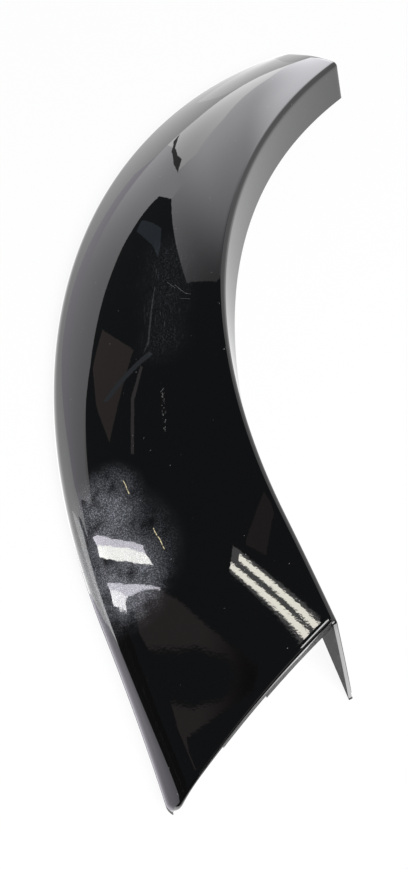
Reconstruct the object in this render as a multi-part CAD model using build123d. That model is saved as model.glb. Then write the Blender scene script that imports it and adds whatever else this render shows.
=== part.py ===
from build123d import *

import os
from math import cos, radians, sin, tan

# Wheel arch trim: a glossy moulded shell that covers one side of a wheel opening, with its push-in clips.
# Millimetres. The plan is laid out about the wheel's centre, and the trim lies with its face up: +Z points
# away from the vehicle's side, and Z = 0 is the surface that the outer lip is pressed against.
# At the end everything moves so that the origin is the middle of the trim's box, on Z = 0.

# Plan of the inner fold: an arc about the wheel's centre, then a straight run down to the lower corner
ARCH_RADIUS = 378.0
ARCH_TOP_ANGLE = 140.2
ARCH_LOW_ANGLE = 203.7
STRAIGHT_RUN = 64.5

# Section sizes that change along the trim, each from its lowest point to the top end in equal steps
FOLD_HEIGHTS = (52.5, 72.2, 70.0, 54.8, 35.6)
CREASE_HEIGHTS = (34.0, 29.2, 36.0, 40.0, 23.5)
CREASE_OFFSETS = (104.5, 101.7, 83.0, 58.0, 35.2)
WIDTHS = (118.5, 113.0, 112.3, 100.3, 53.0)
FLANGE_EDGE_HEIGHTS = (-3.0, 19.0, 30.0, 23.2, 5.5)
FLANGE_SPLAYS = (2.5, 10.0, 15.6)

# Section sizes that stay the same
WALL = 2.5
LIP_HEIGHT = 12.0
FOLD_INNER_ROUNDING = 1.1
FOLD_ROUNDING = FOLD_INNER_ROUNDING + WALL
CREASE_ROUNDING = 8.0
EDGE_ROUNDING = 5.0
FACE_CROWN = 6.0
BAND_CROWN = 5.0

# Lower end: the face is cut on a slant with a lip turned in under it, and the flange runs on as a tongue
END_SLANT = 48.0
END_BOW = 3.0
END_CORNER = 8.0
END_ROUNDING = 2.0
TONGUE_REACH = 28.5
END_LIP_WALL = 2.5
END_LIP_STEP = 48.0
END_LIP_END = 80.0
END_LIPS = ((13.0, WALL, END_LIP_STEP), (7.0, END_LIP_STEP, END_LIP_END))

# Clip seats on the back: the length along the fold and the distance outwards from it
CLIP_PLACES = ((30.0, 58.0), (128.0, 56.0), (226.0, 52.0), (322.0, 44.0), (402.0, 28.0))
SEAT_HEIGHT = 21.0
SEAT_PLATE = 2.2
SEAT_WALL = 1.6
SEAT_LENGTH = 22.0
SEAT_WIDTH = 24.0
SEAT_CLEARANCE = 0.3

# Push-in clip: square plates, and a stem of two crossed blades
CLIP_HEAD_WIDTH = 14.0
CLIP_HEAD_HEIGHT = 1.8
CLIP_NECK_WIDTH = 6.6
CLIP_COLLAR_WIDTH = 17.0
CLIP_COLLAR_HEIGHT = 1.4
CLIP_STEM_WIDTH = 5.2
CLIP_BARB_WIDTH = 8.4
CLIP_BARB_PITCH = 3.2
CLIP_BARB_COUNT = 3
CLIP_TIP_LENGTH = 3.0
CLIP_BLADE_WALL = 2.0
SEAL_HEIGHT = 2.4
SEAL_WIDTH = 15.0
SEAL_CLEARANCE = 0.1

# Locating pegs
PEG_PLACES = ((80.0, 64.0), (446.0, 24.0))
PEG_RADIUS = 3.0
PEG_LENGTH = 12.0
PEG_TIP_CHAMFER = 1.5
PEG_BOSS_RADIUS = 4.8

# Gussets in the fold
GUSSET_PLACES = (79.0, 177.0, 274.0, 363.0)
GUSSET_WALL = 1.6
GUSSET_DROP = 18.0
GUSSET_REACH = 24.0

# Section stations, and how far past the ends the shell is drawn before it is trimmed
STATION_COUNT = 9
OVERRUN = 6.0
CUT_ROOM = 200.0

UP = Vector(0, 0, 1)
LOW = radians(ARCH_LOW_ANGLE)
FOLD_LENGTH = STRAIGHT_RUN + ARCH_RADIUS * radians(ARCH_LOW_ANGLE - ARCH_TOP_ANGLE)


def along(values, length):
    """The smooth curve through values at equal steps, read at a length from the lower corner."""
    share = (length + END_SLANT) / (FOLD_LENGTH + END_SLANT)
    steps = [i / (len(values) - 1) for i in range(len(values))]
    total = 0.0
    for i, value in enumerate(values):
        for j, step in enumerate(steps):
            if j != i:
                value *= (share - step) / (steps[i] - step)
        total += value
    return total


def section_plane(length):
    """The upright plane across the trim there: X outwards from the fold, Y up."""
    if length > STRAIGHT_RUN:
        angle = LOW - (length - STRAIGHT_RUN) / ARCH_RADIUS
        back = 0.0
    else:
        angle = LOW
        back = STRAIGHT_RUN - length
    outward = Vector(cos(angle), sin(angle))
    down = Vector(-sin(angle), cos(angle))
    return Plane(outward * ARCH_RADIUS + down * back, x_dir=outward, z_dir=outward.cross(UP))


def plan_plane(length, offset=0.0, height=0.0):
    """The level plane at a place on the trim: X outwards, Y down along the fold."""
    upright = section_plane(length)
    return Plane(upright.from_local_coords(Vector(offset, height)), x_dir=upright.x_dir, z_dir=UP)


def turned(direction, angle):
    return direction.rotate(Axis.Z, angle)


def bend(corner, way_in, way_out, size):
    """The start, middle and end of a rounded corner, each with its direction."""
    half_turn = radians(way_in.get_angle(way_out)) / 2
    inside = (way_out - way_in).normalized()
    return [
        (corner - way_in * size, way_in),
        (corner + inside * size * tan(half_turn / 2), (way_in + way_out).normalized()),
        (corner + way_out * size, way_out),
    ]


def section_knots(length):
    """Points and directions along the outside of the section, from the flange's edge to the lip's foot."""
    fold = Vector(0, along(FOLD_HEIGHTS, length))
    splay = along(FLANGE_SPLAYS, length)
    depth = (fold.Y - along(FLANGE_EDGE_HEIGHTS, length)) / cos(radians(splay))
    rise = turned(Vector(0, 1), -splay)
    crease = Vector(along(CREASE_OFFSETS, length), along(CREASE_HEIGHTS, length))
    width = along(WIDTHS, length)
    edge = Vector(width, LIP_HEIGHT)
    face = (crease - fold).normalized()
    band = (edge - crease).normalized()
    face_start = turned(face, FACE_CROWN)
    face_end = turned(face, -FACE_CROWN)
    band_start = turned(band, BAND_CROWN)
    band_end = turned(band, -BAND_CROWN)
    drop = Vector(0, -1)
    knots = [(fold - rise * depth, rise)]
    knots += bend(fold, rise, face_start, FOLD_ROUNDING)
    knots += bend(crease, face_end, band_start, CREASE_ROUNDING)[::2]
    knots += bend(edge, band_end, drop, EDGE_ROUNDING)
    return knots + [(Vector(width, 0), drop)]


def section_curves(length, depth):
    """The section's curve at a depth below the outside, an arc-like piece between each two knots."""
    knots = [(point - turned(way, 90) * depth, way) for point, way in section_knots(length)]
    pieces = []
    for (start, start_way), (end, end_way) in zip(knots, knots[1:]):
        turn = radians(start_way.get_angle(end_way))
        reach = (end - start).length / 3
        if turn > 0.001:
            reach = (end - start).length * 2 / 3 * tan(turn / 4) / sin(turn / 2)
        pieces.append([start, start + start_way * reach, end - end_way * reach, end])
    return pieces


def section_face(length, near, far):
    """The closed section between two depths below the outside."""
    outside = section_curves(length, near)
    inside = section_curves(length, far)
    plane = section_plane(length)
    loop = outside + [[outside[-1][-1], inside[-1][-1]]]
    loop += [piece[::-1] for piece in reversed(inside)] + [[inside[0][0], outside[0][0]]]
    edges = []
    for points in loop:
        placed = [plane.from_local_coords(point) for point in points]
        edges.append(Bezier(*placed) if len(placed) > 2 else Line(*placed))
    return Face(Wire(edges))


def room_face(length, floor):
    """The section of the space behind the trim, from half way through the wall down to a level floor."""
    roof = section_curves(length, WALL / 2)
    plane = section_plane(length)
    first = roof[0][0]
    last = roof[-1][-1]
    base = [last, Vector(last.X, floor), Vector(first.X, floor), first]
    edges = [Bezier(*[plane.from_local_coords(point) for point in piece]) for piece in roof]
    for start, end in zip(base, base[1:]):
        edges.append(Line(plane.from_local_coords(start), plane.from_local_coords(end)))
    return Face(Wire(edges))


def stations():
    first = -END_SLANT - OVERRUN
    span = FOLD_LENGTH + OVERRUN - first
    return [first + span * i / (STATION_COUNT - 1) for i in range(STATION_COUNT)]


def trim_solid(make_section):
    return Solid.make_loft([make_section(length).outer_wire() for length in stations()])


# Ends of the shell

LOWER_CORNER = plan_plane(0)
END_WIDTH = along(WIDTHS, -END_SLANT)


def end_curve():
    """The line that the face ends on, in plan: a slight bow from the fold, then a rounded outer corner."""
    bow_end = Vector(END_WIDTH - END_CORNER, END_SLANT)
    bow = ThreePointArc((0, 0), (bow_end.X / 2, bow_end.Y / 2 - END_BOW), bow_end)
    corner = TangentArc(bow_end, bow_end + Vector(END_CORNER, -0.6 * END_CORNER), tangent=bow % 1)
    past = Line(corner @ 1, corner @ 1 + Vector(END_CORNER, 0))
    return [bow, corner, past]


def lower_end_cut():
    """What is cut away past the end of the face and the root of the flange."""
    line = end_curve()
    far = END_SLANT + CUT_ROOM
    root = line[0] @ 0 - (line[0] % 0) * END_SLANT
    around = Polyline(line[-1] @ 1, (END_WIDTH + END_CORNER, far), (root.X, far), root, line[0] @ 0)
    return extrude(LOWER_CORNER * make_face(line + [around]), CUT_ROOM, both=True)


def tongue():
    """The flange past the lower corner, which runs on to a slanted end."""
    height = along(FOLD_HEIGHTS, 0)
    top = height - FOLD_ROUNDING
    upright = Plane(LOWER_CORNER.origin, x_dir=LOWER_CORNER.y_dir, z_dir=LOWER_CORNER.x_dir)
    outline = Polyline(
        (-TONGUE_REACH, -LIP_HEIGHT),
        (-TONGUE_REACH, top),
        (TONGUE_REACH * (1 - top / height), top),
        (TONGUE_REACH, 0),
        (TONGUE_REACH, -LIP_HEIGHT),
        close=True,
    )
    return shell & extrude(upright.offset(WALL) * make_face(outline), -END_SLANT)


def top_end_cut():
    return extrude(section_plane(FOLD_LENGTH) * Rectangle(4 * CUT_ROOM, 4 * CUT_ROOM), CUT_ROOM)


def end_lip(depth, start, reach):
    """A wall that turns in under the end of the face, between two distances from the fold."""
    bow = end_curve()[0]
    inner = Pos(0, -END_LIP_WALL * bow.length / END_WIDTH) * bow
    outer = Pos(0, OVERRUN) * bow
    sides = [Line(inner @ 0, outer @ 0), Line(inner @ 1, outer @ 1)]
    plan = make_face([inner, outer] + sides)
    plan &= Pos((start + reach) / 2, END_SLANT / 2) * Rectangle(reach - start, 4 * END_SLANT)
    wall = extrude(LOWER_CORNER * plan, CUT_ROOM) & room
    return wall - Pos(0, 0, -depth) * room - lower_end_cut()


def outer_end_edges(part, cut):
    """The edges where the outside of the shell meets an end that a cut made."""
    found = []
    for edge in part.edges():
        ends = [Vertex(edge @ share) for share in (0.1, 0.5, 0.9)]
        if max(cut.distance_to(end) for end in ends) < 0.005 and room.distance_to(ends[1]) > 0.4 * WALL:
            found.append(edge)
    return found


# Features of the back


def clip_seat(place):
    """A raised box with one open side and a slot in its plate, which a clip's neck slides into."""
    base = plan_plane(*place, SEAT_HEIGHT)
    slot_width = CLIP_NECK_WIDTH + 2 * SEAT_CLEARANCE
    plate = Rectangle(SEAT_WIDTH, SEAT_LENGTH)
    plate -= Pos(0, (SEAT_LENGTH - slot_width) / 2) * Rectangle(slot_width, SEAT_LENGTH)
    walls = Rectangle(SEAT_WIDTH, SEAT_LENGTH)
    walls -= Pos(0, SEAT_WALL) * Rectangle(SEAT_WIDTH - 2 * SEAT_WALL, SEAT_LENGTH)
    return extrude(base * plate, SEAT_PLATE) + extrude(base * walls, CUT_ROOM)


def peg_boss(place):
    """A round boss that carries a locating pin."""
    return extrude(plan_plane(*place, SEAT_HEIGHT) * Circle(PEG_BOSS_RADIUS), CUT_ROOM)


def peg_pin(place):
    """A plain locating pin that stands on its boss."""
    root = plan_plane(*place, SEAT_HEIGHT + PEG_RADIUS)
    pin = extrude(root * Circle(PEG_RADIUS), -PEG_LENGTH - PEG_RADIUS)
    return chamfer(pin.faces().sort_by(Axis.Z)[0].edges(), PEG_TIP_CHAMFER)


def gusset(length):
    """A thin three-cornered rib between the flange and the face."""
    fold = along(FOLD_HEIGHTS, length)
    outline = Polyline(
        (-GUSSET_REACH, fold - GUSSET_DROP),
        (0, fold - GUSSET_DROP),
        (GUSSET_REACH, fold - GUSSET_DROP / 2),
        (GUSSET_REACH, fold + GUSSET_DROP),
        (-GUSSET_REACH, fold + GUSSET_DROP),
        close=True,
    )
    return extrude(section_plane(length) * make_face(outline), GUSSET_WALL / 2, both=True)


shell = trim_solid(lambda length: section_face(length, 0, WALL))
room = trim_solid(lambda length: room_face(length, -LIP_HEIGHT))
moulding = Part() + shell
for end_cut in (lower_end_cut(), top_end_cut()):
    moulding -= end_cut
    moulding = fillet(outer_end_edges(moulding, end_cut), min(END_ROUNDING, 0.8 * WALL))
moulding += tongue()
features = Part()
features += [clip_seat(place) for place in CLIP_PLACES]
features += [peg_boss(place) for place in PEG_PLACES]
features += [gusset(length) for length in GUSSET_PLACES]
moulding += features & room
moulding += [peg_pin(place) for place in PEG_PLACES]
moulding += [end_lip(*sizes) for sizes in END_LIPS]

# Clips and their seals


def clip(place):
    """A push-in clip: a head and collar that grip the seat's plate, and two crossed barbed blades."""
    head_low = SEAT_PLATE + SEAT_CLEARANCE
    collar_low = -SEAT_CLEARANCE - CLIP_COLLAR_HEIGHT
    barbs_top = collar_low - SEAL_HEIGHT
    right = [(CLIP_STEM_WIDTH / 2, collar_low), (CLIP_STEM_WIDTH / 2, barbs_top)]
    for barb in range(CLIP_BARB_COUNT):
        top = barbs_top - barb * CLIP_BARB_PITCH
        right.append((CLIP_BARB_WIDTH / 2, top))
        right.append((CLIP_STEM_WIDTH / 2, top - CLIP_BARB_PITCH))
    tip = (0, right[-1][1] - CLIP_TIP_LENGTH)
    left = [(-x, z) for x, z in reversed(right)]
    outline = make_face(Polyline(*right, tip, *left, close=True))
    blade = extrude(Plane.XZ * outline, CLIP_BLADE_WALL / 2, both=True)
    body = blade + Rot(0, 0, 90) * blade
    plates = (
        (CLIP_HEAD_WIDTH, head_low, CLIP_HEAD_HEIGHT),
        (CLIP_NECK_WIDTH, collar_low, head_low - collar_low),
        (CLIP_COLLAR_WIDTH, collar_low, CLIP_COLLAR_HEIGHT),
    )
    for width, low, height in plates:
        body += extrude(Pos(0, 0, low) * Rectangle(width, width), height)
    return plan_plane(*place, SEAT_HEIGHT) * body


def clip_seal(place):
    """The soft square washer under a clip's collar."""
    top = -SEAT_CLEARANCE - CLIP_COLLAR_HEIGHT
    opening = CLIP_STEM_WIDTH + 2 * SEAL_CLEARANCE
    ring = Rectangle(SEAL_WIDTH, SEAL_WIDTH) - Rectangle(opening, opening)
    return plan_plane(*place, SEAT_HEIGHT + top) * extrude(ring, -SEAL_HEIGHT)


clips = [clip(place) for place in CLIP_PLACES]
seals = [clip_seal(place) for place in CLIP_PLACES]

# Origin: the middle of the moulding's box, on the plane of the outer lip

box = moulding.bounding_box()
to_origin = Pos(-box.center().X, -box.center().Y, -box.min.Z)
os.makedirs("parts", exist_ok=True)
export_step(to_origin * moulding, "parts/trim_moulding.step")
export_step(to_origin * Compound(clips), "parts/retainer_clips.step")
export_step(to_origin * Compound(seals), "parts/clip_seals.step")
print("origin moved by", to_origin.position)
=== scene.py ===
from math import cos, pi, radians, sin

import bmesh
import bpy
import numpy as np
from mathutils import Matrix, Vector


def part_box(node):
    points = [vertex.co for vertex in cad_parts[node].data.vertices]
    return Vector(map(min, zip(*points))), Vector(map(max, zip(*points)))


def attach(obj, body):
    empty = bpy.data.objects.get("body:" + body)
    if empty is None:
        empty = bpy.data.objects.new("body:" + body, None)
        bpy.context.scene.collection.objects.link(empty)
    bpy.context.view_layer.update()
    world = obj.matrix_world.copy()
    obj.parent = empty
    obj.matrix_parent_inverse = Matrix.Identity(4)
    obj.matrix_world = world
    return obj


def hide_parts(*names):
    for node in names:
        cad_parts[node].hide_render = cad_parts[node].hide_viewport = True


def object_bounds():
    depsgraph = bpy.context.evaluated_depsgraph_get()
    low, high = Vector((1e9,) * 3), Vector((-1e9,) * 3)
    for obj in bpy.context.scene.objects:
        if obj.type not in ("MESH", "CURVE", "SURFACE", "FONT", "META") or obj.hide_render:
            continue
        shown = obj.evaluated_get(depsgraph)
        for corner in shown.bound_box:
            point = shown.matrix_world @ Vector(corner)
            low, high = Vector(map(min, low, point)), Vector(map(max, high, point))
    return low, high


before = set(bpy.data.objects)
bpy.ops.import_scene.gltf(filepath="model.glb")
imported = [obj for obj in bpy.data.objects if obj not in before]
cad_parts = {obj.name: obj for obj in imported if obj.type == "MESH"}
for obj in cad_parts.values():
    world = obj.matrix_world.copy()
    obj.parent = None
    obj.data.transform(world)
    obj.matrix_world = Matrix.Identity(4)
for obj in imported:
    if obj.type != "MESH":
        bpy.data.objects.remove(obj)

cad_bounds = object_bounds()

# The shell of the trim: the flange that turns in at the wheel, the broad crowned face, the soft crease,
# the narrow outer band and the lip that is pressed on the body panel. It is one injection moulding in
# polished black plastic with rolled ends, drawn about the wheel's centre with a section that changes.
ARCH_RADIUS = 0.378
ARCH_TOP = radians(140.2)
ARCH_LOW = radians(203.7)
STRAIGHT_RUN = 0.0645
FOLD_LENGTH = STRAIGHT_RUN + ARCH_RADIUS * (ARCH_LOW - ARCH_TOP)
FOLD_HEIGHTS = (0.0525, 0.0722, 0.0700, 0.0548, 0.0356)
CREASE_HEIGHTS = (0.0340, 0.0292, 0.0360, 0.0400, 0.0235)
CREASE_OFFSETS = (0.1045, 0.1017, 0.0830, 0.0580, 0.0352)
WIDTHS = (0.1185, 0.1130, 0.1123, 0.1003, 0.0530)
FLANGE_EDGE_HEIGHTS = (-0.0030, 0.0190, 0.0300, 0.0232, 0.0055)
FLANGE_SPLAYS = (2.5, 10.0, 15.6)
WALL = 0.0025
LIP_HEIGHT = 0.012
FOLD_ROUNDING = 0.0036
CREASE_ROUNDING = 0.008
EDGE_ROUNDING = 0.005
FACE_CROWN = np.exp(1j * radians(6.0))
BAND_CROWN = np.exp(1j * radians(5.0))
END_SLANT = 0.048
END_BOW = 0.003
END_CORNER = 0.008
END_CORNER_DROP = 0.0048
END_ROLL = 0.002
TONGUE_REACH = 0.0285
TONGUE_ROLL = 0.0005
SHELL_ROWS = 210
ROLL_ROWS = 4
# Columns on each piece of the section: flange, fold (2), face, crease, band, edge (2) and lip.
COLUMN_COUNTS = (12, 6, 6, 44, 12, 18, 6, 6, 4)
LEAST_TURN = 0.001
END_ROUNDS = 12
POLISHED_SIDE = 0
SATIN_SIDE = 1


def along(values, length):
    """The smooth curve through values at equal steps from the lowest point to the top end."""
    share = (length + END_SLANT) / (FOLD_LENGTH + END_SLANT)
    steps = np.linspace(0, 1, len(values))
    total = 0
    for value, step in zip(values, steps):
        for other in steps[steps != step]:
            value = value * (share - other) / (step - other)
        total = total + value
    return total


def bend(corner, way_in, way_out, size):
    """The start, middle and end of a rounded corner, each with its direction."""
    half_turn = np.angle(way_in / way_out) / 2
    inside = (way_out - way_in) / abs(way_out - way_in)
    middle_way = (way_in + way_out) / abs(way_in + way_out)
    return [
        (corner - way_in * size, way_in),
        (corner + inside * size * np.tan(half_turn / 2), middle_way),
        (corner + way_out * size, way_out),
    ]


def section_knots(length):
    """Points and directions on the outside of a section: outwards is real and up is imaginary."""
    fold = 1j * along(FOLD_HEIGHTS, length)
    splay = np.radians(along(FLANGE_SPLAYS, length))
    rise = 1j * np.exp(-1j * splay)
    depth = (fold.imag - along(FLANGE_EDGE_HEIGHTS, length)) / np.cos(splay)
    crease = along(CREASE_OFFSETS, length) + 1j * along(CREASE_HEIGHTS, length)
    foot = along(WIDTHS, length) + 0j
    edge = foot + 1j * LIP_HEIGHT
    face = (crease - fold) / abs(crease - fold)
    band = (edge - crease) / abs(edge - crease)
    knots = [(fold - rise * depth, rise)]
    knots += bend(fold, rise, face * FACE_CROWN, FOLD_ROUNDING)
    knots += bend(crease, face / FACE_CROWN, band * BAND_CROWN, CREASE_ROUNDING)[::2]
    knots += bend(edge, band / BAND_CROWN, -1j, EDGE_ROUNDING)
    return knots + [(foot, -1j)]


def skin(piece, share, length, depth):
    """Points of one arc-like piece of the sections, at a depth below the outside."""
    knots = section_knots(length)
    start_way = knots[piece][1]
    end_way = knots[piece + 1][1]
    start = knots[piece][0] - 1j * start_way * depth
    end = knots[piece + 1][0] - 1j * end_way * depth
    turn = np.maximum(abs(np.angle(start_way / end_way)), LEAST_TURN)
    reach = abs(end - start) * 2 / 3 * np.tan(turn / 4) / np.sin(turn / 2)
    near = start + start_way * reach
    far = end - end_way * reach
    rest = 1 - share
    return rest**3 * start + 3 * share * rest**2 * near + 3 * share**2 * rest * far + share**3 * end


def in_plan(length, point):
    """Section points set round the wheel's centre."""
    angle = ARCH_LOW - np.maximum(length - STRAIGHT_RUN, 0) / ARCH_RADIUS
    outward = np.exp(1j * angle)
    back = np.maximum(STRAIGHT_RUN - length, 0)
    plan = outward * (ARCH_RADIUS + point.real + 1j * back)
    return np.stack([plan.real, plan.imag, point.imag], -1)


END_WIDTH = along(WIDTHS, -END_SLANT)
END_FOLD_HEIGHT = along(FOLD_HEIGHTS, 0.0)


def end_drop(offset):
    """How far past the lower corner the face runs: a slight bow, then the rounded outer corner."""
    bow_width = END_WIDTH - END_CORNER
    share = min(max(offset / bow_width, 0), 1)
    past = max(offset - bow_width, 0)
    slope = (END_SLANT + 4 * END_BOW) / bow_width
    fall = (END_CORNER_DROP + slope * END_CORNER) / END_CORNER**2
    return END_SLANT * share - 4 * END_BOW * share * (1 - share) + slope * past - fall * past**2


def past_fold(piece, share):
    """0 on the flange and 1 on the face, changing round the fold."""
    return min(max(piece - 1 + share, 0) / 2, 1)


def lower_end(piece, share, depth):
    """The length at which one line along the skin ends: on the tongue's slant or on the face's end."""
    length = 0.0
    for _ in range(END_ROUNDS):
        point = skin(piece, share, length, depth)
        tongue_end = -TONGUE_REACH * (1 - point.imag / END_FOLD_HEIGHT)
        face_end = -end_drop(max(point.real, 0))
        length = tongue_end + (face_end - tongue_end) * past_fold(piece, share)
    return length


def shell_line(piece, share):
    """A closed line round the shell: up the outside, over the top end, down the inside and round the end."""
    low_roll = TONGUE_ROLL + (END_ROLL - TONGUE_ROLL) * past_fold(piece, share)
    low = lower_end(piece, share, 0) + low_roll
    lengths = list(np.linspace(low, FOLD_LENGTH - END_ROLL, SHELL_ROWS + 1))
    depths = [0.0] * (SHELL_ROWS + 1)
    turns = [pi / 2 * step / ROLL_ROWS for step in range(1, ROLL_ROWS + 1)]
    for turn in turns:
        lengths.append(FOLD_LENGTH - END_ROLL * (1 - sin(turn)))
        depths.append(END_ROLL * (1 - cos(turn)))
    lengths += list(np.linspace(FOLD_LENGTH, lower_end(piece, share, WALL), SHELL_ROWS + 1))
    depths += [WALL] * (SHELL_ROWS + 1)
    for turn in reversed(turns):
        depth = low_roll * (1 - cos(turn))
        lengths.append(lower_end(piece, share, depth) + low_roll * (1 - sin(turn)))
        depths.append(depth)
    lengths = np.array(lengths)
    return in_plan(lengths, skin(piece, share, lengths, np.array(depths)))


def shell_mesh():
    """The shell's points and faces, and the side that each face is on."""
    lines = [shell_line(piece, i / count) for piece, count in enumerate(COLUMN_COUNTS) for i in range(count)]
    lines.append(shell_line(len(COLUMN_COUNTS) - 1, 1.0))
    rows = len(lines[0])
    faces = []
    finishes = []
    inside = SHELL_ROWS + 1 + ROLL_ROWS
    lip_column = len(lines) - 1 - COLUMN_COUNTS[-1]
    for column in range(len(lines) - 1):
        for row in range(rows):
            above = (row + 1) % rows
            near = column * rows
            far = near + rows
            faces.append((near + row, far + row, far + above, near + above))
            hidden = inside <= row < inside + SHELL_ROWS or column >= lip_column
            finishes.append(SATIN_SIDE if hidden else POLISHED_SIDE)
    for first in (0, (len(lines) - 1) * rows):
        for row in range(SHELL_ROWS):
            back = inside + SHELL_ROWS - row
            faces.append((first + row, first + row + 1, first + back - 1, first + back))
        faces.append([first + row for row in range(SHELL_ROWS, inside + 1)])
        faces.append([first + row % rows for row in range(inside + SHELL_ROWS, rows + 1)])
        finishes += [SATIN_SIDE] * (SHELL_ROWS + 2)
    return np.concatenate(lines), faces, finishes


def new_piece(name, points, faces):
    """A mesh object with its faces turned outwards."""
    mesh = bpy.data.meshes.new(name)
    mesh.from_pydata([tuple(point) for point in points], [], faces)
    shape = bmesh.new()
    shape.from_mesh(mesh)
    bmesh.ops.recalc_face_normals(shape, faces=shape.faces)
    shape.to_mesh(mesh)
    shape.free()
    piece = bpy.data.objects.new(name, mesh)
    bpy.context.scene.collection.objects.link(piece)
    return piece


class Wire:
    """A shader socket. Arithmetic with it adds Math nodes to its tree."""

    def __init__(self, tree, socket=None):
        self.tree = tree
        self.socket = socket

    def node(self, kind, settings, sockets, output=0):
        """Adds a node, makes its settings, feeds its sockets and gives one of its outputs."""
        made = self.tree.nodes.new(kind)
        for name, value in settings.items():
            setattr(made, name, value)
        for name, value in sockets.items():
            if isinstance(value, Wire):
                self.tree.links.new(value.socket, made.inputs[name])
            else:
                made.inputs[name].default_value = value
        return Wire(self.tree, made.outputs[output] if made.outputs else None)

    def beside(self, output):
        """Another output of the same node."""
        return Wire(self.tree, self.socket.node.outputs[output])

    def math(self, operation, *values):
        """Adds a Math node on values or wires."""
        return self.node("ShaderNodeMath", {"operation": operation}, dict(enumerate(values)))

    def __add__(self, other):
        return self.math("ADD", self, other)

    def __sub__(self, other):
        return self.math("SUBTRACT", self, other)

    def __rsub__(self, other):
        return self.math("SUBTRACT", other, self)

    def __mul__(self, other):
        return self.math("MULTIPLY", self, other)

    __radd__ = __add__
    __rmul__ = __mul__


def rising(value, low, high):
    """0 to 1 as a value goes smoothly from low to high. Low may be the greater of the two."""
    sockets = {"Value": value, "From Min": low, "From Max": high}
    return value.node("ShaderNodeMapRange", {"interpolation_type": "SMOOTHSTEP"}, sockets)


def mixed(share, first, second):
    """A colour between two, by a share, through the colour sockets of a Mix node."""
    return share.node("ShaderNodeMix", {"data_type": "RGBA"}, {0: share, 6: first, 7: second}, 2)


def grey(level):
    """A grey colour."""
    return (level, level, level, 1.0)


def capped(value):
    """A value held at 1 at most."""
    return value.math("MINIMUM", value, 1.0)


def coordinate(place, axis):
    """One coordinate of a place."""
    return place.node("ShaderNodeSeparateXYZ", {}, {"Vector": place}, axis)


def noise(place, scale, detail=2.0, roughness=0.5):
    """Cloudy noise from 0 to 1."""
    sockets = {"Vector": place, "Scale": scale, "Detail": detail, "Roughness": roughness}
    return place.node("ShaderNodeTexNoise", {}, sockets)


def specks(place, scale, size, share):
    """Small round dots in some of the cells of a scattered pattern, sized as a share of a cell."""
    cells = place.node("ShaderNodeTexVoronoi", {}, {"Vector": place, "Scale": scale}, "Distance")
    pick = cells.node("ShaderNodeSeparateColor", {}, {"Color": cells.beside("Color")}, 0)
    return rising(cells, size, size * 0.5) * rising(pick, share, share * 0.9)


HAIR_DETAIL = 3.0
HAIR_ROUGHNESS = 0.6


def hairs(place, turn, scale, stretch, low, high):
    """Fine lines that run one way in plan, where stretched noise goes from low to high."""
    sockets = {"Vector": place, "Rotation": (0, 0, turn), "Scale": (1.0, 1.0 / stretch, 1.0 / stretch)}
    drawn = place.node("ShaderNodeMapping", {}, sockets)
    return rising(noise(drawn, scale, HAIR_DETAIL, HAIR_ROUGHNESS), low, high)


def streak(x, y, start, end, width):
    """1 on a thin straight mark between two plan points, which fades at its sides and ends."""
    way = (end - start) / abs(end - start)
    run = (x - start.real) * way.real + (y - start.imag) * way.imag
    side = (y - start.imag) * way.real - (x - start.real) * way.imag
    side = side.math("ABSOLUTE", side)
    length = abs(end - start)
    ends = rising(run, -width, width) * rising(run, length + width, length - width)
    return ends * rising(side, width, width * 0.5)


def patch(x, y, centre, radius):
    """1 at a plan point, fading to 0 at a distance from it."""
    across = (x - centre.real) * (x - centre.real) + (y - centre.imag) * (y - centre.imag)
    return rising(across.math("SQRT", across), radius, 0.0)


def new_material(name):
    """A material, and the place on the object in metres as a wire."""
    material = bpy.data.materials.new(name)
    material.use_nodes = True
    material.node_tree.nodes.clear()
    start = Wire(material.node_tree)
    return material, start.node("ShaderNodeTexCoord", {}, {}, "Object")


def plastic(place, sockets, bump, bump_depth):
    """A plastic or rubber shader with a bump in metres."""
    bump_sockets = {"Height": bump, "Distance": bump_depth, "Strength": 1.0}
    normal = place.node("ShaderNodeBump", {}, bump_sockets)
    return place.node("ShaderNodeBsdfPrincipled", {}, {**sockets, "Normal": normal})


def surfaced(shader):
    """Makes a shader the surface of its material."""
    shader.node("ShaderNodeOutputMaterial", {}, {"Surface": shader})


# The polish and its wear. Marks lie at plan places: straws and scratches run between two, and scuffs, rubs
# and chips reach a radius round one. Noise is given by scale, detail and roughness, specks by scale, size
# and share, hairs by scale, stretch and two levels.
BLACK = (0.0016, 0.0016, 0.0018, 1.0)
POLISH_ROUGHNESS = 0.012
PEEL_SCALE = 600.0
PEEL_DEPTH = 0.0000021
GRIT_NOISE = (1250.0, 3.0, 0.7)
GRIT_LEVELS = (0.47, 0.64)
WANDER_SCALE = 160.0
WANDER = 0.0016
STRAWS = ((-0.0513 - 0.1045j, -0.0473 - 0.1138j), (-0.0324 - 0.1376j, -0.0257 - 0.1512j))
STRAW_HALF_WIDTH = 0.00028
STRAW_BREAK_SCALE = 1100.0
STRAW_BREAK_LEVELS = (0.36, 0.52)
STRAW_COLOUR = (0.70, 0.62, 0.38, 1.0)
STRAW_ROUGHNESS = 0.5
SCRATCHES = (
    (-0.0270 + 0.0310j, -0.0215 + 0.0245j),
    (-0.0215 + 0.0270j, -0.0155 + 0.0185j),
    (-0.0155 + 0.0185j, -0.0120 + 0.0170j),
    (-0.0180 + 0.0150j, -0.0120 + 0.0130j),
    (-0.0580 - 0.1650j, -0.0545 - 0.1690j),
)
SCRATCH_HALF_WIDTH = 0.00017
SCRATCH_GRIT = 0.7
SCRATCH_VEIL = 0.2
SCRATCH_ROUGHNESS = 0.3
SCUFFS = ((-0.061 - 0.152j, 0.050), (-0.062 - 0.115j, 0.027), (-0.048 - 0.168j, 0.030))
SCUFF_NOISE = (70.0, 4.0, 0.6)
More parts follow.
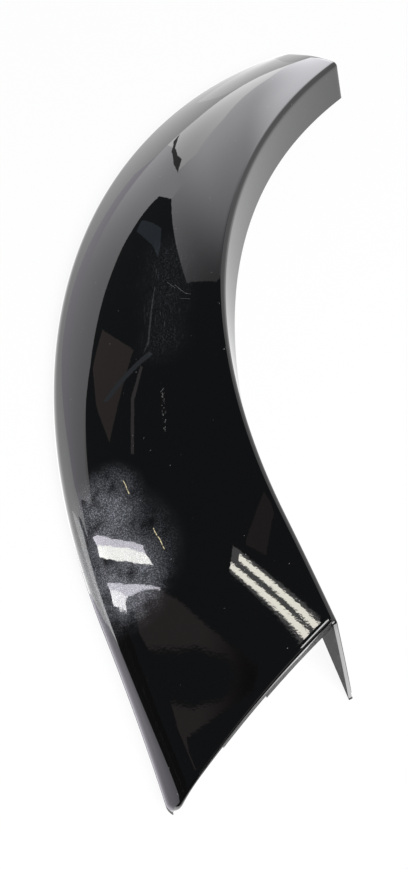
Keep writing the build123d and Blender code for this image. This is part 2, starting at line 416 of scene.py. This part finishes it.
SCUFF_LEVELS = (0.22, 0.60)
SCUFF_GRIT = 1.05
SCUFF_VEIL = 0.26
RUBS = (
    (-0.026 + 0.056j, 0.024),
    (-0.026 + 0.034j, 0.027),
    (-0.028 + 0.010j, 0.024),
    (-0.029 - 0.015j, 0.022),
)
RUB_TURNS = (radians(55), radians(-40))
RUB_HAIRS = (800.0, 9.0, 0.60, 0.72)
RUB_LINES = 0.12
RUB_GRIT = 0.10
FILM_COLOUR = (0.200, 0.206, 0.235, 1.0)
SPECK_ROW = (-0.0290 - 0.0470j, -0.0262 - 0.0790j)
SPECK_ROW_HALF_WIDTH = 0.0014
SPECK_ROW_SPECKS = (900.0, 0.50, 0.60)
SPECK_ROW_SHARE = 0.6
DUST_SPECKS = (170.0, 0.06, 0.35)
DUST_SHARE = 0.8
CHIPS = ((0.0060 + 0.0051j, 0.0016), (0.0090 - 0.0300j, 0.0016))
CHIP_SCALE = 700.0
CHIP_LEVELS = (0.5, 0.6)
MARK_GREY = 0.22
HAZE_ROUGHNESS = 0.25
HAZE_GRIT_ROUGHNESS = 0.06
HAZE_GRIT = 0.25
HAZE_VEIL = 0.10
polished, place = new_material("polished_black")
x = coordinate(place, "X")
y = x.beside("Y")
wander = (noise(place, WANDER_SCALE) - 0.5) * WANDER
straw = sum(streak(x + wander, y, *ends, STRAW_HALF_WIDTH) for ends in STRAWS)
straw = straw * rising(noise(place, STRAW_BREAK_SCALE), *STRAW_BREAK_LEVELS)
scratched = sum(streak(x + wander, y, *ends, SCRATCH_HALF_WIDTH) for ends in SCRATCHES)
scuffed = sum(patch(x, y, *spot) for spot in SCUFFS)
scuffed = capped(scuffed) * rising(noise(place, *SCUFF_NOISE), *SCUFF_LEVELS)
rubbed = sum(patch(x, y, *spot) for spot in RUBS)
chipped = sum(patch(x, y, *spot) for spot in CHIPS)
grit = rising(noise(place, *GRIT_NOISE), *GRIT_LEVELS)
fine_lines = sum(hairs(place, turn, *RUB_HAIRS) for turn in RUB_TURNS)
row = streak(x, y, *SPECK_ROW, SPECK_ROW_HALF_WIDTH) * specks(place, *SPECK_ROW_SPECKS)
dust = specks(place, *DUST_SPECKS) + row * SPECK_ROW_SHARE
film = scuffed * (grit * SCUFF_GRIT + SCUFF_VEIL) + rubbed * (fine_lines * RUB_LINES + grit * RUB_GRIT)
marks = dust * DUST_SHARE + scratched * (grit * SCRATCH_GRIT + SCRATCH_VEIL)
marks = marks + chipped * rising(noise(place, CHIP_SCALE), *CHIP_LEVELS)
base = mixed(capped(film), BLACK, FILM_COLOUR)
base = mixed(capped(marks), base, grey(MARK_GREY))
base = mixed(capped(straw), base, STRAW_COLOUR)
peel = noise(place, PEEL_SCALE)
rough = straw * STRAW_ROUGHNESS + scratched * SCRATCH_ROUGHNESS + POLISH_ROUGHNESS
clean = plastic(place, {"Base Color": base, "Roughness": rough}, peel, PEEL_DEPTH)
hazed_rough = grit * HAZE_GRIT_ROUGHNESS + HAZE_ROUGHNESS
hazed = plastic(place, {"Base Color": base, "Roughness": hazed_rough}, peel, PEEL_DEPTH)
haze = scuffed * (grit * HAZE_GRIT + HAZE_VEIL)
surfaced(place.node("ShaderNodeMixShader", {}, {0: haze, 1: clean, 2: hazed}))

# The satin back, as it leaves the mould: fine grain with flow lines.
SATIN_DARK = 0.010
SATIN_LIGHT = 0.060
SATIN_GRAIN = (1000.0, 4.0, 0.7)
SATIN_LEVELS = (0.40, 0.64)
SATIN_ROUGHNESS = 0.38
SATIN_GRAIN_ROUGHNESS = 0.25
SATIN_SPECULAR = 0.12
SATIN_GRAIN_DEPTH = 0.00006
FLOW_TURN = radians(24)
FLOW_HAIRS = (500.0, 14.0, 0.50, 0.72)
FLOW_SHARE = 0.6
FLOW_GREY = 0.085
satin, place = new_material("satin_back")
grain = noise(place, *SATIN_GRAIN)
flow = hairs(place, FLOW_TURN, *FLOW_HAIRS)
satin_base = mixed(rising(grain, *SATIN_LEVELS), grey(SATIN_DARK), grey(SATIN_LIGHT))
satin_base = mixed(flow * FLOW_SHARE, satin_base, grey(FLOW_GREY))
satin_rough = grain * SATIN_GRAIN_ROUGHNESS + SATIN_ROUGHNESS
satin_sockets = {"Base Color": satin_base, "Roughness": satin_rough, "Specular IOR Level": SATIN_SPECULAR}
surfaced(plastic(place, satin_sockets, grain, SATIN_GRAIN_DEPTH))

points, faces, finishes = shell_mesh()
low_corner, high_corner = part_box("trim_moulding")
to_row_frame = (np.array(low_corner) + np.array(high_corner)) / 2 - (points.min(0) + points.max(0)) / 2
to_row_frame[2] = 0.0
shell = new_piece("trim_shell", points + to_row_frame, faces)
for finish in (polished, satin):
    shell.data.materials.append(finish)
shell.data.polygons.foreach_set("material_index", finishes)
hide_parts("trim_moulding")
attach(shell, "root")

# Clip seats: five raised boxes on the back, each open on one side with a slot that a clip's neck slides
# into. They are moulded in one with the shell in the same black plastic, and their walls run up into it.
CLIP_PLACES = ((0.030, 0.058), (0.128, 0.056), (0.226, 0.052), (0.322, 0.044), (0.402, 0.028))
SEAT_HEIGHT = 0.021
SEAT_PLATE = 0.0022
SEAT_WALL = 0.0016
SEAT_LENGTH = 0.022
SEAT_WIDTH = 0.024
SEAT_SLOT = 0.0072
SHARP_TURN = radians(35)
FACE_PIECES = range(2, 7)
FACE_STEPS = 30


def plan_corners(length, offset, corners):
    """Plan points about the wheel's centre, from corners given outwards and down along the fold."""
    turn = ARCH_LOW - max(length - STRAIGHT_RUN, 0) / ARCH_RADIUS
    back = max(STRAIGHT_RUN - length, 0)
    return [np.exp(1j * turn) * (ARCH_RADIUS + offset + out + 1j * (back + down)) for out, down in corners]


def height_in_wall(length, offset):
    """Height of the middle of the wall at a place on the trim."""
    shares = np.linspace(0, 1, FACE_STEPS)
    middle = np.concatenate([skin(piece, shares, length, WALL / 2) for piece in FACE_PIECES])
    return np.interp(offset, middle.real, middle.imag)


def height_over(plan):
    """Height of the middle of the wall over a plan point."""
    turned = plan / np.exp(1j * ARCH_LOW)
    if turned.imag > 0:
        return height_in_wall(STRAIGHT_RUN - turned.imag, turned.real - ARCH_RADIUS)
    return height_in_wall(STRAIGHT_RUN - np.angle(turned) * ARCH_RADIUS, abs(plan) - ARCH_RADIUS)


def prism_faces(count):
    """Faces of a closed form between two like outlines, with the points of one after the other's."""
    faces = [list(range(count)), list(range(count, 2 * count))]
    for i in range(count):
        after = (i + 1) % count
        faces.append((i, after, after + count, i + count))
    return faces


def block(plan, low, tops):
    """Points and faces of a closed upright block over a plan outline."""
    points = [(p.real, p.imag, low) for p in plan] + [(p.real, p.imag, top) for p, top in zip(plan, tops)]
    return points, prism_faces(len(plan))


def mould_in(blocks):
    """Joins closed blocks into the shell, in its satin back material."""
    tools = []
    for points, faces in blocks:
        tool = new_piece("block", np.array(points) + to_row_frame, faces)
        for finish in (polished, satin):
            tool.data.materials.append(finish)
        tool.data.polygons.foreach_set("material_index", [SATIN_SIDE] * len(faces))
        join = shell.modifiers.new("join", "BOOLEAN")
        join.operation = "UNION"
        join.solver = "MANIFOLD"
        join.object = tool
        tools.append(tool)
    graph = bpy.context.evaluated_depsgraph_get()
    joined = bpy.data.meshes.new_from_object(shell.evaluated_get(graph))
    shell.modifiers.clear()
    shell.data = joined
    for tool in tools:
        bpy.data.objects.remove(tool)
    joined.polygons.foreach_set("use_smooth", [True] * len(joined.polygons))
    joined.set_sharp_from_angle(angle=SHARP_TURN)


half_width = SEAT_WIDTH / 2
half_length = SEAT_LENGTH / 2
half_slot = SEAT_SLOT / 2
inner = half_width - SEAT_WALL
seat_walls = [(-half_width, -half_length), (half_width, -half_length), (half_width, half_length)]
seat_walls += [(inner, half_length), (inner, SEAT_WALL - half_length), (-inner, SEAT_WALL - half_length)]
seat_walls += [(-inner, half_length), (-half_width, half_length)]
seat_plate = [(-half_width, -half_length), (half_width, -half_length), (half_width, half_length)]
seat_plate += [(half_slot, half_length), (half_slot, -half_slot), (-half_slot, -half_slot)]
seat_plate += [(-half_slot, half_length), (-half_width, half_length)]
seats = []
for spot in CLIP_PLACES:
    plan = plan_corners(*spot, seat_walls)
    seats.append(block(plan, SEAT_HEIGHT, [height_over(p) for p in plan]))
    plan = plan_corners(*spot, seat_plate)
    seats.append(block(plan, SEAT_HEIGHT, [SEAT_HEIGHT + SEAT_PLATE] * len(plan)))
mould_in(seats)

# Locating pegs: two round bosses with plain chamfered pins, which find holes in the body panel.
# They are moulded in one with the shell and stand near its two ends.
PEG_PLACES = ((0.080, 0.064), (0.446, 0.024))
PEG_RADIUS = 0.003
PEG_LENGTH = 0.012
PEG_CHAMFER = 0.0015
BOSS_RADIUS = 0.0048
ROUND_SIDES = 40


def ring(radius):
    """Corners round a circle."""
    turns = np.linspace(0, 2 * pi, ROUND_SIDES, endpoint=False)
    return [(radius * cos(turn), radius * sin(turn)) for turn in turns]


def pin(spot):
    """Points and faces of a pin whose root is sunk in its boss."""
    levels = ((PEG_RADIUS, SEAT_HEIGHT + PEG_RADIUS), (PEG_RADIUS, SEAT_HEIGHT - PEG_LENGTH + PEG_CHAMFER))
    levels += ((PEG_RADIUS - PEG_CHAMFER, SEAT_HEIGHT - PEG_LENGTH),)
    points = []
    for radius, height in levels:
        points += [(p.real, p.imag, height) for p in plan_corners(*spot, ring(radius))]
    faces = [list(range(ROUND_SIDES)), list(range(2 * ROUND_SIDES, 3 * ROUND_SIDES))]
    for first in (0, ROUND_SIDES):
        for i in range(ROUND_SIDES):
            after = (i + 1) % ROUND_SIDES
            faces.append((first + i, first + after, first + after + ROUND_SIDES, first + i + ROUND_SIDES))
    return points, faces


pegs = []
for spot in PEG_PLACES:
    plan = plan_corners(*spot, ring(BOSS_RADIUS))
    pegs.append(block(plan, SEAT_HEIGHT, [height_over(p) for p in plan]))
    pegs.append(pin(spot))
mould_in(pegs)

# Gussets: four thin three-cornered ribs across the inside of the fold, which hold the flange at its
# angle. They are moulded in one with the shell.
GUSSET_PLACES = (0.079, 0.177, 0.274, 0.363)
GUSSET_WALL = 0.0016
GUSSET_DROP = 0.018
GUSSET_REACH = 0.024
FOLD_PIECES = range(4)
FOLD_STEPS = 24
gussets = []
for length in GUSSET_PLACES:
    fold = along(FOLD_HEIGHTS, length)
    shares = np.linspace(0, 1, FOLD_STEPS)[:-1]
    roof = np.concatenate([skin(piece, shares, length, WALL / 2) for piece in FOLD_PIECES])
    slope = GUSSET_DROP / 2 / GUSSET_REACH
    floor_line = fold - GUSSET_DROP + slope * np.maximum(roof.real, 0)
    outline = list(roof[roof.imag > floor_line])
    outline.append(1j * (fold - GUSSET_DROP))
    sides = []
    for way in (-1, 1):
        plan = plan_corners(length, 0, [(point.real, way * GUSSET_WALL / 2) for point in outline])
        sides += [(p.real, p.imag, point.imag) for p, point in zip(plan, outline)]
    gussets.append((sides, prism_faces(len(outline))))
mould_in(gussets)

# End lips: a wall turned in under the slanted lower end, deep beside the fold and shallow further out.
# It is moulded in one with the shell, set just back from the rolled edge, and left unpolished.
LIP_WALL = 0.0027
LIP_SET_BACK = 0.0003
LIP_STEP = 0.048
LIP_REACH = 0.080
LIP_OVERLAP = 0.0005
DEEP_LIP = 0.013
SHALLOW_LIP = 0.007
LIP_RUNS = ((DEEP_LIP, WALL, LIP_STEP), (SHALLOW_LIP, LIP_STEP - LIP_OVERLAP, LIP_REACH))
LIP_STEPS = 24
LIP_CORNERS = (0, 1, 3, 2)
lips = []
for depth, start, reach in LIP_RUNS:
    rim = []
    for offset in np.linspace(start, reach, LIP_STEPS + 1):
        for set_back in (LIP_SET_BACK, LIP_SET_BACK + LIP_WALL):
            length = set_back - end_drop(offset)
            top = height_in_wall(length, offset)
            for height in (top, top - depth):
                rim.append(in_plan(np.array(length), np.array(offset + 1j * height)))
    lip_faces = [LIP_CORNERS, tuple(4 * LIP_STEPS + i for i in LIP_CORNERS)]
    for i in range(LIP_STEPS):
        near = 4 * i
        far = near + 4
        for a, b in zip(LIP_CORNERS, LIP_CORNERS[1:] + LIP_CORNERS[:1]):
            lip_faces.append((near + a, near + b, far + b, far + a))
    lips.append((rim, lip_faces))
mould_in(lips)

# Push-in clips: five white nylon fasteners in their seats, kept as they were built.
# Each is moulded in one with a head, a collar and two crossed barbed blades.
NYLON_DARK = (0.50, 0.48, 0.42, 1.0)
NYLON_LIGHT = (0.66, 0.64, 0.58, 1.0)
NYLON_CLOUDS = (420.0, 3.0)
NYLON_ROUGHNESS = 0.3
NYLON_CLOUD_ROUGHNESS = 0.3
NYLON_GRAIN_SCALE = 900.0
NYLON_GRAIN_DEPTH = 0.00004
nylon, place = new_material("clip_nylon")
cloud = noise(place, *NYLON_CLOUDS)
nylon_base = mixed(cloud, NYLON_DARK, NYLON_LIGHT)
nylon_sockets = {"Base Color": nylon_base, "Roughness": cloud * NYLON_CLOUD_ROUGHNESS + NYLON_ROUGHNESS}
surfaced(plastic(place, nylon_sockets, noise(place, NYLON_GRAIN_SCALE), NYLON_GRAIN_DEPTH))
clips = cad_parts["retainer_clips"]
clips.data.materials.clear()
clips.data.materials.append(nylon)

# Clip seals: square washers of black closed-cell foam, punched from sheet and pushed over the blades.
# They are kept as they were built.
FOAM_DARK = 0.012
FOAM_LIGHT = 0.035
FOAM_ROUGHNESS = 0.9
FOAM_CELL_SCALE = 1800.0
FOAM_CELL_DEPTH = 0.0002
foam, place = new_material("seal_foam")
cells = place.node("ShaderNodeTexVoronoi", {}, {"Vector": place, "Scale": FOAM_CELL_SCALE}, "Distance")
foam_base = mixed(cells, grey(FOAM_DARK), grey(FOAM_LIGHT))
surfaced(plastic(place, {"Base Color": foam_base, "Roughness": FOAM_ROUGHNESS}, cells, FOAM_CELL_DEPTH))
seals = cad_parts["clip_seals"]
seals.data.materials.clear()
seals.data.materials.append(foam)

# The floor: one wide sheet of plain white paper, which keeps the trim's shadow. Mirrored in the polish
# it glows with painted light, brighter at the left and the top, where the light falls.
FLOOR_HALF = 14.0
FLOOR_GAP = 0.0002
FLOOR_GLOW = 0.9
PAPER_GREY = 0.9
LEFT_GLOSS = 2.4
RIGHT_GLOSS = 0.95
TOP_GLOSS = 2.0
LEFT_RAMP = (-0.1, 0.15)
RIGHT_RAMP = (0.04, 0.29)
SIDE_RAMP = (-0.08, 0.04)
floor_material, place = new_material("white_floor")
camera_ray = place.node("ShaderNodeLightPath", {}, {}, "Is Camera Ray")
glossy_ray = camera_ray.beside("Is Glossy Ray")
seen = camera_ray + glossy_ray + camera_ray.beside("Is Transmission Ray")
across = coordinate(place, "X")
right_gloss = mixed(rising(across.beside("Y"), *RIGHT_RAMP), grey(RIGHT_GLOSS), grey(TOP_GLOSS))
left_gloss = mixed(rising(across.beside("Y"), *LEFT_RAMP), grey(LEFT_GLOSS), grey(TOP_GLOSS))
painted_gloss = mixed(rising(across, *SIDE_RAMP), left_gloss, right_gloss)
paper = place.node("ShaderNodeBsdfDiffuse", {}, {"Color": grey(PAPER_GREY)})
glow = place.node("ShaderNodeEmission", {}, {"Color": mixed(glossy_ray, grey(1.0), painted_gloss)})
surfaced(place.node("ShaderNodeMixShader", {}, {0: capped(seen) * FLOOR_GLOW, 1: paper, 2: glow}))
floor_level = cad_bounds[0][2] - FLOOR_GAP
corners = ((-1, -1), (1, -1), (1, 1), (-1, 1))
floor_points = [(x * FLOOR_HALF, y * FLOOR_HALF, floor_level) for x, y in corners]
floor = new_piece("floor", floor_points, [(0, 1, 2, 3)])
floor.data.materials.append(floor_material)

# The boards, walls and dim things of the room, which only the polish mirrors, as glowing sheets. A bearing
# runs from +Y towards +X, an elevation up from the floor, both in degrees. Ground sheets lie in thin steps
# on the floor, and the ring of pale board is also the backdrop of low views.
BOARD_STEPS = 36
GROUND_STEP = 0.0008
WHITE = (1.0, 1.0, 1.0)
LILAC = (1.0, 0.96, 1.06)
PALE_LILAC = (1.0, 0.985, 1.03)


def sheet(name, points, faces, brightness, tint=WHITE, fades=(), only_mirrored=True):
    """A glowing sheet. A fade has an axis, the places where it starts and ends, and the share left."""
    material, place = new_material(name)
    colour = tuple(brightness * part for part in tint) + (1.0,)
    level = None
    for axis, start, end, left in fades:
        step = 1.0 - rising(coordinate(place, axis), start, end) * (1.0 - left)
        level = step if level is None else level * step
    if fades:
        colour = mixed(level, grey(0.0), colour)
    surfaced(place.node("ShaderNodeEmission", {}, {"Color": colour}))
    made = new_piece(name, points, faces)
    made.data.materials.append(material)
    if only_mirrored:
        made.visible_camera = False
        made.visible_diffuse = False
        made.visible_shadow = False


def at_bearing(bearing, distance, elevation):
    """A place seen from the middle of the trim."""
    turn = radians(bearing)
    return np.array((distance * sin(turn), distance * cos(turn), distance * np.tan(radians(elevation))))


def run(first, last, elevation):
    """A long edge that keeps one elevation between two bearings."""
    return ((first, elevation), (last, elevation))


def board(name, lower, upper, distance, brightness, **looks):
    """A sheet bent round the trim, from the bearings and elevations along its two long edges."""
    points = []
    for edge in (lower, upper):
        shares = np.linspace(0, len(edge) - 1, BOARD_STEPS + 1)
        turns = np.interp(shares, range(len(edge)), [bearing for bearing, _ in edge])
        rises = np.interp(shares, range(len(edge)), [elevation for _, elevation in edge])
        points += [at_bearing(turn, distance, rise) for turn, rise in zip(turns, rises)]
    over = BOARD_STEPS + 1
    faces = [(i, i + 1, i + 1 + over, i + over) for i in range(BOARD_STEPS)]
    sheet(name, points, faces, brightness, **looks)


def shape(name, outline, distance, brightness, tint=WHITE):
    """A flat thing from the bearings and elevations of its corners."""
    points = [at_bearing(bearing, distance, elevation) for bearing, elevation in outline]
    sheet(name, points, [list(range(len(points)))], brightness, tint)


def level_sheet(name, outline, height, brightness, tint=WHITE, fades=()):
    """A level thing from the plan places of its corners."""
    sheet(name, [(x, y, height) for x, y in outline], [list(range(len(outline)))], brightness, tint, fades)


board("ring_board", run(0, 360, 0), run(0, 360, 15), distance=7.5, brightness=1.3, only_mirrored=False)
board("dark_gap", run(-150, -76, 0), run(-150, -76, 17), distance=7.0, brightness=0.06)
board("dark_front", run(130, 230, 0), run(130, 230, 50), distance=3.0, brightness=0.05)
left_top = ((-76, 11.5), (-65, 14.5), (-56.5, 16), (-46.6, 15.1), (-39.3, 14.7), (-33.2, 16.2))
left_top += ((-27.9, 18.6), (-25.8, 22.2), (-22, 22.2))
left_looks = {"tint": PALE_LILAC, "fades": (("X", -2.5, -4.6, 0.66),)}
board("left_board", run(-76, -22, -0.2), left_top, distance=6.4, brightness=2.4, **left_looks)
leaf_top = ((-22.5, 18.7), (-17.6, 19.7), (-11, 16.5), (-3.4, 7.1), (-1.2, 0.2))
leaf_fades = (("X", -0.6, -2.3, 0.72),)
board("leaf_board", run(-22.5, -1.2, -0.2), leaf_top, distance=6.2, brightness=4.6, fades=leaf_fades)
back_fades = (("X", 0.5, -0.6, 0.55), ("X", -1.6, -3.0, 0.6), ("Z", 2.4, 4.7, 0.24))
back_looks = {"tint": PALE_LILAC, "fades": back_fades}
back_low = run(-25.8, 40, 22.2)
board("back_low", run(-22, 40, 0), back_low, distance=6.6, brightness=6.1, **back_looks)
back_top = ((-32.8, 32.5), (-29.6, 34), (-12.4, 41), (10, 46), (40, 46))
board("back_high", back_low, back_top, distance=6.6, brightness=6.1, **back_looks)
hook = ((-20.1, 0.3), (-21.6, 1.2), (-22.9, 6.2), (-23.1, 14.6), (-22.6, 19), (-21.1, 16.9))
hook += ((-22, 12.9), (-22.1, 6.4), (-20.9, 1.9))
shape("hook", hook, distance=6.0, brightness=0.3)
board("right_wall", run(20, 165, 0), run(20, 165, 62), distance=4.5, brightness=1.4)

leaf_ground = ((-0.03, 0.31), (0.05, 0.31), (0.0, 6.2), (-0.9, 6.2))
level_sheet("leaf_ground", leaf_ground, GROUND_STEP, brightness=2.2)
left_ground = ((-0.24, 0.5), (-0.25, 0.1), (-0.27, 0.0), (-0.24, -0.05))
left_ground += ((-0.4, -0.04), (-6.2, 1.4), (-2.6, 5.8))
level_sheet("left_ground", left_ground, GROUND_STEP * 2, brightness=1.6, tint=LILAC)
dark_ground = ((-0.5, -0.06), (-0.17, -0.095), (-0.12, -0.168), (-0.094, -0.197), (-0.07, -0.24))
dark_ground += ((0.0, -0.36), (1.0, -0.40), (3.0, -6.0), (-3.0, -6.0), (-6.5, 1.6))
level_sheet("dark_ground", dark_ground, GROUND_STEP, brightness=0.06)
# The tip ground and the bright ground are painted light: bright sheets on the floor that the polish mirrors,
# near the tongue's tip and beside the lower outer edge.
tip_ground = ((0.078, -0.217), (0.13, -0.255), (0.35, -0.45), (0.20, -0.50), (0.085, -0.26))
level_sheet("tip_ground", tip_ground, GROUND_STEP * 2, brightness=8.0)
# The edge shade is painted shade: a dim lilac sheet on the floor along the lower outer edge, which stands in
# for the trim's shadow there as the polish mirrors it.
SHADE_RUN = (-0.05, 0.085)
SHADE_STEPS = 60
SHADE_PLACES = (0.0, 0.06, 0.085)
SHADE_REACHES = (0.06, 0.030, 0.004)
shade_lengths = np.linspace(*SHADE_RUN, SHADE_STEPS)
shade_widths = along(WIDTHS, shade_lengths)
shade_reaches = np.interp(shade_lengths, SHADE_PLACES, SHADE_REACHES)
near = in_plan(shade_lengths, shade_widths + 0j) + to_row_frame
far = in_plan(shade_lengths, shade_widths + shade_reaches + 0j) + to_row_frame
painted_edge_shade = [(x, y) for x, y, _ in near] + [(x, y) for x, y, _ in far[::-1]]
level_sheet("painted_edge_shade", painted_edge_shade, GROUND_STEP * 3, brightness=1.15, tint=LILAC)
bright_ground = ((-0.17, -0.11), (-0.12, -0.168), (-0.094, -0.197))
bright_ground += ((-0.085, -0.19), (-0.105, -0.15), (-0.13, -0.10))
level_sheet("bright_ground", bright_ground, GROUND_STEP * 2, brightness=3.6)

brown_box = ((-50.5, 19.3), (-50.6, 29), (-54.8, 29), (-65.8, 28.5), (-56.6, 17.9))
shape("brown_box", brown_box, distance=5.5, brightness=0.40, tint=(1.0, 0.85, 0.80))
pale_bar = ((-49.3, 33.2), (-60.1, 26.2), (-60.3, 25.0), (-49.3, 32.2))
shape("pale_bar", pale_bar, distance=5.4, brightness=0.5, tint=(0.8, 0.9, 1.0))
thin_line = ((-38.8, 28.4), (-42.2, 29.6), (-48, 31.7), (-50.4, 31.3))
thin_line += ((-48, 31.3), (-42.2, 29.3), (-38.8, 28.2))
shape("thin_line", thin_line, distance=5.4, brightness=0.7, tint=(0.9, 0.95, 1.0))
dim_line = ((-52.4, 32.1), (-58.4, 32.3), (-66.8, 34.7), (-66.8, 34), (-58.4, 31.5), (-52.4, 31.5))
shape("dim_line", dim_line, distance=5.4, brightness=0.55, tint=(1.0, 0.92, 0.92))
blue_case = ((-33.0, 17.7), (-31.6, 20.8), (-30.4, 23.8), (-32.5, 25.5))
blue_case += ((-34.3, 26.2), (-33.8, 24.2), (-34.8, 18.1))
shape("blue_case", blue_case, distance=5.6, brightness=0.38, tint=(0.7, 0.85, 1.0))

# The lamps of the room: a large soft lamp over the camera's right shoulder, two tubes in a pale fitting
# under the ceiling with a further lamp nearer the front, and two upright lamps at the left. Dim brown
# things hide part of the lower one. Apart from the soft lamp they are sheets that only the polish mirrors.
CEILING = 2.5
FITTING_RISE = 0.02
PATCH_RISE = 0.05
TUBES = ((-1.45 + 0.010j, -0.41 - 0.392j), (-1.34 + 0.020j, -0.29 - 0.413j))
TUBE_WIDTHS = (0.024, 0.015)
FITTING = (-1.45 + 0.036j, -0.33 - 0.412j)
FITTING_WIDTHS = (0.100, 0.058)
LEFT_WALL = -2.5
UPPER_TOP = ((0.30, 0.24), (0.35, 0.89), (0.415, 1.47), (0.405, 1.63), (0.38, 1.89), (0.355, 2.06))
UPPER_MIDDLE = ((0.25, 0.42), (0.29, 0.94), (0.363, 1.50), (0.35, 1.78), (0.325, 1.94), (0.30, 2.10))
UPPER_FOOT = ((0.175, 0.38), (0.20, 0.91), (0.28, 1.55), (0.27, 1.78), (0.245, 1.94), (0.22, 2.25))
LOWER_TOP = (
    (0.01, 0.33),
    (0.03, 0.70),
    (0.07, 1.13),
    (0.14, 1.62),
    (0.133, 1.89),
    (0.115, 2.06),
    (0.086, 2.39),
)
LOWER_TAIL = (
    (-0.035, 0.42),
    (0.02, 1.15),
    (0.06, 1.52),
    (0.075, 1.85),
    (0.084, 1.94),
    (0.091, 2.07),
    (0.084, 2.38),
)
LOWER_MIDDLE = LOWER_TAIL[:3] + ((0.078, 1.80),)
LOWER_FOOT = ((-0.14, 0.25), (-0.11, 0.77), (-0.04, 1.32), (0.065, 1.771))
BROWN = (1.0, 0.84, 0.84)
TUBE_TINT = (1.0, 0.97, 0.86)
UPPER_TINT = (1.0, 1.0, 0.95)
LOWER_TINT = (1.0, 0.98, 1.0)


def under_ceiling(name, ends, widths, height, brightness, tint=WHITE):
    """A strip under the ceiling between two plan places."""
    side = 1j * (ends[1] - ends[0]) / abs(ends[1] - ends[0])
    corners = [ends[0] - side * widths[0] / 2, ends[0] + side * widths[0] / 2]
    corners += [ends[1] + side * widths[1] / 2, ends[1] - side * widths[1] / 2]
    level_sheet(name, [(p.real, p.imag) for p in corners], height, brightness, tint)


def on_left_wall(name, first, second, brightness, tint):
    """A band on the left wall between two lines given along the wall and up it."""
    points = [(LEFT_WALL, y, z) for y, z in first + second]
    over = len(first)
    faces = [(i, i + 1, i + 1 + over, i + over) for i in range(over - 1)]
    sheet(name, points, faces, brightness, tint)


under_ceiling("fitting", FITTING, FITTING_WIDTHS, CEILING + FITTING_RISE, brightness=1.2)
for number, ends in enumerate(TUBES, 1):
    under_ceiling(f"tube_{number}", ends, TUBE_WIDTHS, CEILING, brightness=18.0, tint=TUBE_TINT)
on_left_wall("upper_lamp_dim", UPPER_TOP, UPPER_MIDDLE, brightness=11.0, tint=LILAC)
on_left_wall("upper_lamp", UPPER_MIDDLE, UPPER_FOOT, brightness=20.0, tint=UPPER_TINT)
on_left_wall("lower_lamp_dim", LOWER_TOP, LOWER_TAIL, brightness=11.0, tint=LILAC)
on_left_wall("lower_lamp", LOWER_MIDDLE, LOWER_FOOT, brightness=18.0, tint=LOWER_TINT)
front_lamp = ((-0.20, -0.68), (0.10, -0.64), (0.30, -0.86), (0.06, -0.92))
level_sheet("front_lamp", front_lamp, CEILING, brightness=14.0)
brown_field = ((-3.30, 0.16), (-2.70, 0.11), (-2.30, 0.03), (-1.92, -0.065), (-1.40, -0.19), (-0.95, -0.295))
brown_field += ((-1.04, -0.285), (-1.45, -0.192), (-1.93, -0.109), (-2.59, -0.028), (-3.30, 0.05))
field_fades = (("X", -1.9, -1.0, 0.15),)
level_sheet("brown_field", brown_field, CEILING, brightness=0.38, tint=BROWN, fades=field_fades)
brown_patch = ((-1.13, 0.35), (-0.95, 0.25), (-1.04, -0.03), (-1.29, 0.06))
level_sheet("brown_patch", brown_patch, CEILING + PATCH_RISE, brightness=0.26, tint=BROWN)

SOFT_PLACE = Vector((1.0, -1.6, 2.4))
SOFT_SIZE = 1.8
SOFT_RADIANCE = 12.0
light = bpy.data.lights.new("soft_lamp", "AREA")
light.size = SOFT_SIZE
light.energy = pi * SOFT_SIZE**2 * SOFT_RADIANCE
soft = bpy.data.objects.new("soft_lamp", light)
soft.location = SOFT_PLACE
soft.rotation_euler = SOFT_PLACE.to_track_quat("Z", "Y").to_euler()
soft.visible_camera = False
soft.visible_glossy = False
bpy.context.scene.collection.objects.link(soft)

ROOM_COLOUR = (0.85, 0.93, 1.0, 1.0)
ROOM_STRENGTH = 0.11
world = bpy.data.worlds.new("room")
bpy.context.scene.world = world
world.use_nodes = True
background = world.node_tree.nodes["Background"]
background.inputs["Color"].default_value = ROOM_COLOUR
background.inputs["Strength"].default_value = ROOM_STRENGTH

# The camera: it looks down on the face from beyond the lower end, as the photograph does. Its place is
# given from the wheel's centre.
CAMERA_FROM_WHEEL = (-0.39098, -0.4339, 0.64364)
CAMERA_TILT = radians(30.05)
CAMERA_LENS = 47.6
camera = bpy.data.cameras.new("camera")
camera.lens = CAMERA_LENS
viewer = bpy.data.objects.new("camera", camera)
viewer.location = [a + b for a, b in zip(CAMERA_FROM_WHEEL, to_row_frame)]
viewer.rotation_euler = (CAMERA_TILT, 0, 0)
bpy.context.scene.collection.objects.link(viewer)
bpy.context.scene.camera = viewer
bpy.context.scene.view_settings.view_transform = "Standard"
